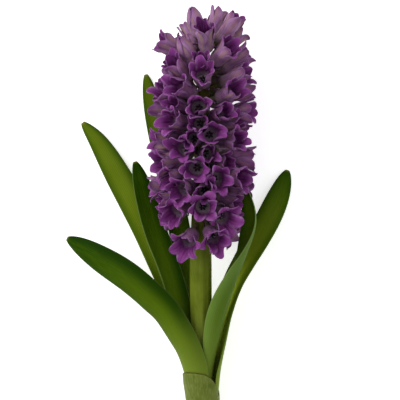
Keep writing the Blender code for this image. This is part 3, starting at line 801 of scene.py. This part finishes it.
def floretShell(found, draw):
    d, foot, way = floret, found["foot"], found["way"]
    crown = eased(foot[1], *d["crownAt"])
    widest = between(d["leanOldest"], d["leanOpen"], eased(foot[1], *d["oldestAt"]))
    opened = max(found["open"], 0.0) * (1 - d["youngShut"] * eased(foot[1], *d["youngAt"]))
    bud = found["open"] < 0
    scale = found["reach"] / (d["budReach"] if bud else d["cupReach"] - d["openLoses"] * opened)
    scale = scale * (1 - d["crownShrink"] * crown)
    tubeAt = np.linspace(0, d["rimAt"], d["tubeRows"])
    fine = spline([np.array([a, r, 0.0]) for a, r in d["tube"]], np.linspace(0, 1, 200))
    tubeRadius = np.interp(tubeAt, fine[:, 0], fine[:, 1])
    columns = np.arange(6 * perLobe)
    turns = np.radians(columns * 60.0 / perLobe) + found["turn"]
    out = np.cos(turns)[:, None] * found["side"] + np.sin(turns)[:, None] * found["front"]
    lobeTurn = np.abs((columns + perLobe / 2) % perLobe - perLobe / 2) / (perLobe / 2)
    points, values, rows = [], {"along": [], "across": [], "inside": []}, {}

    def keep(key, block, along, across, inside):
        rows[key] = sum(len(p) for p in points)
        points.append(foot + scale * block)
        for layer, amounts in (("along", along), ("across", across), ("inside", inside)):
            values[layer].append(np.broadcast_to(amounts, (len(block),)).copy())

    def keepRing(key, along, wall, inside):
        flute = d["flute"] * eased(along, d["fluteFrom"], d["rimAt"])
        flute = 1 + flute * np.cos(6 * (turns - found["turn"]))
        radius = (np.interp(along, tubeAt, tubeRadius) - wall) * flute
        keep(key, along * way + radius[:, None] * out, along / d["whole"], lobeTurn, inside)

    for row, along in enumerate(tubeAt):
        keepRing(("outer", row), along, 0.0, 0.0)
    for row, along in enumerate(np.linspace(d["rimAt"], d["throatAt"], d["throatRows"])):
        keepRing(("inner", row), along, d["wall"], 1.0)
    for lobe in range(6):
        own = drawLobe(lobe, opened, bud, widest, crown, draw)
        outside, inside, along, across = lobeSheets(found, lobe, own, opened, bud)
        keep(("outerLobe", lobe), outside.reshape(-1, 3), along, across, 0.0)
        keep(("innerLobe", lobe), inside.reshape(-1, 3), along, across, 1.0)
    # a bell at the side looks up into the light, and each one also looks its own way
    light = np.array([0.0, 0.15 + d["crownPull"] * crown, 1.0 - 0.8 * crown])
    toLight = light - way * (light @ way)
    own = draw.normal(size=2) * d["nod"]
    lean = toLight * d["nodToLight"] * (0.4 if bud else 1.0)
    lean = lean + own[0] * found["side"] + own[1] * found["front"]
    points = nodded(np.concatenate(points), found, math.radians(np.linalg.norm(lean)), unit(lean))
    # petals that would dip into the floor rest on it
    height, low = points[:, 2] + plantOrigin[2], d["restBelow"]
    points[:, 2] += np.where(height < low, low * np.exp(np.minimum(height / low - 1, 0)) - height, 0.0)
    return points, floretFaces(rows), {key: np.concatenate(v) for key, v in values.items()}


def nodded(points, found, nod, sideways):
    # bends the bell over by nod, just above its pedicel
    local, way = points - found["foot"], found["way"]
    run, off = local @ way, local @ sideways
    steps = np.linspace(*floret["bendSteps"])
    angle = nod * (eased(steps, *floret["bendAt"]) - floret["tiltBack"])
    ahead, aside = (np.concatenate([[0], np.cumsum(part(angle[1:]))]) * steps[1] for part in (np.cos, np.sin))
    bent = np.interp(run, steps, angle)
    newRun = np.interp(run, steps, ahead) - off * np.sin(bent) + np.minimum(run, 0)
    newOff = np.interp(run, steps, aside) + off * np.cos(bent)
    return points + (newRun - run)[:, None] * way + (newOff - off)[:, None] * sideways


def makePetalSkin():
    made, skin = newMaterial("petalSkin", 0.55, Specular_IOR_Level=0.1)
    along, across, inside, warmth, fresh, young = attributes(
        "along", "across", "inside", "warmth", "fresh", "young")
    cloud = noise(objectPlace(), 260.0, 3.0)
    flat = joined(times(across, 9.0), times(along, 2.0), times(warmth, 7.0))
    streaks, fine = noise(flat, 1.6), noise(flat, 4.5)
    # outside: greyish tube with fine stripes, dusky pink or tan keel, lilac flanks
    keel = times(ramp(across, 0.5, 0.0), ramp(along, 0.5, 0.8, 0.3, 0.9))
    lilac = layered(
        mixed(ramp(cloud, 0.35, 0.7), "#8d5f8c", "#6f4070"),
        (times(ramp(streaks, 0.4, 0.7), 0.5), "#a684a6"),
        (times(keel, 0.65), mixed(warmth, "#8b5470", "#a68a6c")))
    tube = layered(mixed(ramp(cloud, 0.3, 0.7), "#6a5660", "#75665f"),
                   (ramp(fine, 0.45, 0.7, 0.0, 0.4), "#8a7480"))
    pale = mixed(ramp(across, 0.5, 0.1), "#ae88a8", mixed(warmth, "#a67c88", "#b09a84"))
    outside = layered(
        mixed(ramp(along, 0.3, 0.56), tube, lilac),
        (times(young, ramp(streaks, 0.3, 0.7, 0.25, 0.6)), pale),
        (ramp(along, 0.84, 1.0, 0.0, 0.6), "#6c2c6e"),
        (ramp(along, 0.32, 0.14), "#5c5c2c"))
    # inside: pale throat, paler still as painted light against the shade deep in the tube; deep purple,
    # lighter towards the edge and the tip
    purple = layered(
        mixed(ramp(streaks, 0.3, 0.7), "#5c1c5a", "#8a3f84"),
        (ramp(cloud, 0.4, 0.7, 0.0, 0.6), "#66286e"),
        (ramp(across, 0.24, 0.0, 0.0, 0.55), "#400c3e"),
        (ramp(fine, 0.5, 0.75, 0.0, 0.35), "#8c4c8c"),
        (ramp(along, 0.76, 0.98, 0.0, 0.5), "#8e4690"))
    # painted light: the throat is lifted to a pale grey-mauve to offset the shade deep in the tube
    deep = ramp(plus(along, times(fine, 0.08)), 0.68, 0.48)
    within = mixed(deep, purple, mixed(cloud, "#c4b2ba", "#a690a0"))
    # paler lobe edges, partly their own colour and partly painted highlight
    edge = times(ramp(across, 0.45, 1.0), ramp(along, 0.56, 0.75))
    petal = layered(
        mixed(inside, outside, within),
        (times(edge, ramp(cloud, 0.35, 0.7, 0.0, 0.55)), "#ae86b2"),
        (ramp(fresh, 0.0, 1.0, 0.0, 0.22), "#7c3280"))
    finishSkin(skin, petal, plus(streaks, times(cloud, 0.4)), 0.5, 0.0006)
    return made


petalSkin = makePetalSkin()
floretNames = sorted((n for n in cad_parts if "floret" in n or n.startswith("bud")),
                     key=lambda n: n[-2:])
found = {name: readFloret(name) for name in floretNames}


def bodyOf(one, reach=1.0):
    # a few points along its middle, to measure the room by
    return one["foot"] + np.outer(np.linspace(*lateFloret["body"]) * reach, one["way"])


def placeLateFlorets():
    # the plant fills its own gaps: each next floret goes where there is the most room left
    d = lateFloret
    draw = np.random.default_rng(d["seed"])
    bodies = [bodyOf(one) for one in found.values()]
    heights = np.array([one["foot"][1] for one in found.values()])
    climbs = np.array([math.degrees(math.asin(one["way"][1])) for one in found.values()])
    late = []

    def lateOne(y, turn, climb):
        rise = math.radians(climb)
        way = math.cos(rise) * around(turn) + np.array([0, math.sin(rise), 0])
        return standing(axisAt(y) + (stalkRadius(y) - d["sunk"]) * around(turn), way)

    for _ in range(d["most"]):
        best, crowd = None, np.concatenate(bodies)
        for y in np.arange(d["from"], d["to"], d["stepUp"]):
            climb = np.average(climbs, weights=np.exp(-((heights - y) / d["alike"]) ** 2))
            for turn in np.arange(*d["turns"], d["stepRound"]):
                one = lateOne(y, turn, climb)
                body = bodyOf(one, d["length"])
                floor = d["overLeaves"] if body[-1, 0] < d["leavesLeftOf"] else d["overFloor"]
                if body[-1, 2] < floor:
                    continue
                room = np.linalg.norm(body[:, None] - crowd[None], axis=2).min()
                if best is None or room > best[0]:
                    best = (room, one)
        if best is None or best[0] < d["room"]:
            break
        room, one = best
        one["turn"], one["open"] = draw.uniform(0, 1), draw.uniform(*d["open"])
        one["reach"] = d["reach"] * min(draw.uniform(*d["size"]), room / d["fullRoom"])
        late.append(one)
        bodies.append(bodyOf(one, d["length"]))
    return late + [{**lateOne(y, turn, climb), "turn": 0.0, "open": -1.0, "reach": reach}
                   for y, turn, climb, reach in d["tipBuds"]]


def paintedFloret(one, seed):
    draw = np.random.default_rng(seed)
    points, faces, values = floretShell(one, draw)
    for layer in ("warmth", "fresh"):
        values[layer] = np.full(len(points), draw.uniform(0, 1))
    values["young"] = eased(points[:, 1], *floret["paleAt"])
    return points, faces, values


def makeFlorets():
    for number, name in enumerate(floretNames):
        points, faces, values = paintedFloret(found[name], floret["seed"] + number)
        title = name.title().replace("_", "")
        for word in ("Open", "Half", "Bud"):
            title = title.replace(word, word.lower())
        handIn(newPiece(title, points, faces, [petalSkin], values), "petal", name)


def makeLateFlorets():
    points, faces, values = [], [], {}
    for number, one in enumerate(lateOnes):
        shell, corners, layers = paintedFloret(one, lateFloret["seed"] * 100 + number)
        start = sum(len(block) for block in points)
        faces += [tuple(start + c for c in face) for face in corners]
        points.append(shell)
        for key, amounts in layers.items():
            values.setdefault(key, []).append(amounts)
    handIn(newPiece("lateFlorets", np.concatenate(points), faces, [petalSkin],
                    {key: np.concatenate(v) for key, v in values.items()}), "petal")


makeFlorets()
lateOnes = placeLateFlorets()
everyOne = list(found.values()) + lateOnes
makeLateFlorets()
print("florets:", len(floretNames), "and late ones:", len(lateOnes))


stamen = {
    "count": 6, "ring": 0.45, "length": 2.2, "thick": 0.6, "lift": 12.6, "splay": 62.0, "seed": 5,
}


def makeAntherSkin():
    made, skin = newMaterial("antherSkin", 0.6)
    grains = noise(objectPlace(), 3000.0)
    finishSkin(skin, mixed(ramp(grains, 0.3, 0.7), "#060408", "#18121c"), grains, 0.5, 0.0001)
    return made


def wobble(given, most):
    index = put("GeometryNodeInputIndex").outputs[0]
    draw = put("FunctionNodeRandomValue", {2: -most, 3: most, "ID": index,
               "Seed": given["Seed"]}, data_type="FLOAT")
    return index, draw.outputs[1]


def onPoints(points, instance, turn):
    return put("GeometryNodeInstanceOnPoints", {"Points": points, "Instance": instance,
               "Rotation": turn}).outputs[0]


def makeStamenTree(inputs):
    # a ring of anthers on every point, turned the way the point's "aim" says
    tree, given, result = newTree("stamenTree", inputs)
    line = put("GeometryNodeCurvePrimitiveLine", {"End": joined(0.0, 0.0, given["Length"])})
    pieces = put("GeometryNodeResampleCurve", {"Curve": line.outputs[0], "Count": 7})
    part = put("GeometryNodeSplineParameter").outputs["Factor"]
    swell = times(plus(times(part, 0.94), 0.03), math.pi)
    belly = maths("POWER", maths("SINE", swell), 0.6)
    profile = put("GeometryNodeCurvePrimitiveCircle", {"Resolution": 8, "Radius": 1.0})
    body = put("GeometryNodeCurveToMesh", {"Curve": pieces.outputs[0],
               "Profile Curve": profile.outputs[0], "Fill Caps": True,
               "Scale": times(belly, given["Thick"])})
    ring = put("GeometryNodeMeshCircle", {"Vertices": given["Count"], "Radius": given["Ring"]})
    index, own = wobble(given, 0.25)
    share = maths("DIVIDE", index, given["Count"])
    turn = joined(0.0, plus(given["Splay"], own), times(share, 2 * math.pi))
    oneRing = onPoints(ring.outputs[0], body.outputs[0], turn)
    solid = put("GeometryNodeRealizeInstances", {"Geometry": oneRing}).outputs[0]
    everywhere = onPoints(given["Geometry"], solid, named("aim", "FLOAT_VECTOR"))
    link(finished(given, everywhere), result)
    return tree


def turnOf(way, side):
    # the turn that stands an upright thing along way, with its x along side
    front = np.cross(way, side)
    return Matrix((side, front, way)).transposed().to_euler()


def growOn(name, places, turns, makeTree, inputs):
    # grows one of the tree's shapes on every place and hangs them under the root as one piece
    carrier = newObject(name + "Points", newMesh(name + "Points", places, [], [], aim=turns))
    handIn(runTree(carrier, makeTree(inputs), inputs, name), "petal")


def makeStamens():
    places, turns = [], []
    for one in everyOne:
        if one["open"] < 0:
            continue
        places.append(one["foot"] + one["way"] * stamen["lift"] * one["reach"] / floret["budReach"]
                      + plantOrigin)
        out = math.cos(one["turn"]) * one["side"] + math.sin(one["turn"]) * one["front"]
        turns.append(turnOf(one["way"], out))
    growOn("stamens", places, turns, makeStamenTree, {
        "Count": stamen["count"], "Ring": stamen["ring"] * mm, "Length": stamen["length"] * mm,
        "Thick": stamen["thick"] * mm, "Splay": math.radians(stamen["splay"]), "Seed": stamen["seed"],
        "Skin": makeAntherSkin()})


makeStamens()
print("stamens ready")

bract = {
    "length": 6.5, "half": 1.5, "thick": 0.3, "cup": 0.7, "backBend": 1.6, "lift": 1.0, "splay": 34.0,
    "spread": 0.7, "out": 1.2, "seed": 3,
}


def makeBractSkin():
    made, skin = newMaterial("bractSkin", 0.55, Specular_IOR_Level=0.08)
    cloud = noise(objectPlace(), 300.0)
    tip, = attributes("tip")
    scale = layered(mixed(ramp(cloud, 0.3, 0.7), "#5a4a3c", "#6e4f66"),
                    (ramp(tip, 0.3, 1.0), "#7d5a80"))
    finishSkin(skin, scale, cloud, 0.3, 0.0002)
    return made


def makeBractTree(inputs):
    # a small hollow scale at the foot of every pedicel
    tree, given, result = newTree("bractTree", inputs)
    sheet = put("GeometryNodeMeshGrid", {"Size X": 2.0, "Size Y": 1.0, "Vertices X": 7, "Vertices Y": 12})
    spot = put("ShaderNodeSeparateXYZ", {0: put("GeometryNodeInputPosition").outputs[0]})
    wide, run = spot.outputs["X"], plus(spot.outputs["Y"], 0.5)
    kept = stored(sheet.outputs[0], "tip", run)
    narrow = maths("SUBTRACT", 1.02, maths("POWER", run, 2.5))
    x = times(wide, maths("POWER", narrow, 0.6), given["Half"])
    hollow = times(maths("POWER", maths("ABSOLUTE", wide), 2.0), given["Cup"])
    back = times(maths("POWER", run, 2.0), given["Back Bend"])
    shape = joined(x, maths("SUBTRACT", back, hollow), times(run, given["Length"]))
    bent = put("GeometryNodeSetPosition", {"Geometry": kept, "Position": shape}).outputs[0]
    thick = put("GeometryNodeExtrudeMesh", {"Mesh": bent, "Offset Scale": given["Thick"],
                "Individual": False}, mode="FACES")
    under = put("GeometryNodeFlipFaces", {"Mesh": bent})
    both = put("GeometryNodeJoinGeometry")
    for half in (thick, under):
        link(half.outputs[0], both.inputs[0])
    whole = put("GeometryNodeMergeByDistance", {"Geometry": both.outputs[0], "Distance": 0.000001})
    spread = onPoints(given["Geometry"], whole.outputs[0], named("aim", "FLOAT_VECTOR"))
    own = wobble(given, 0.3)[1]
    tipped = joined(maths("SUBTRACT", own, given["Splay"]))
    turned = put("GeometryNodeRotateInstances", {"Instances": spread, "Rotation": tipped})
    link(finished(given, turned.outputs[0]), result)
    return tree


def makeBracts():
    places, turns = [], []
    for one in everyOne:
        below = unit(np.array([0.0, -1.0, 0.0]) + one["way"] * one["way"][1])
        for side in (1, -1):
            beside = unit(below + side * bract["spread"] * np.cross(one["way"], below))
            places.append(one["foot"] + one["way"] * bract["lift"] + beside * bract["out"] + plantOrigin)
            turns.append(turnOf(one["way"], np.cross(beside, one["way"])))
    growOn("bracts", places, turns, makeBractTree, {
        "Length": bract["length"] * mm, "Half": bract["half"] * mm, "Thick": bract["thick"] * mm,
        "Cup": bract["cup"] * mm, "Back Bend": bract["backBend"] * mm,
        "Splay": math.radians(bract["splay"]), "Seed": bract["seed"], "Skin": makeBractSkin()})


makeBracts()
print("bracts ready")
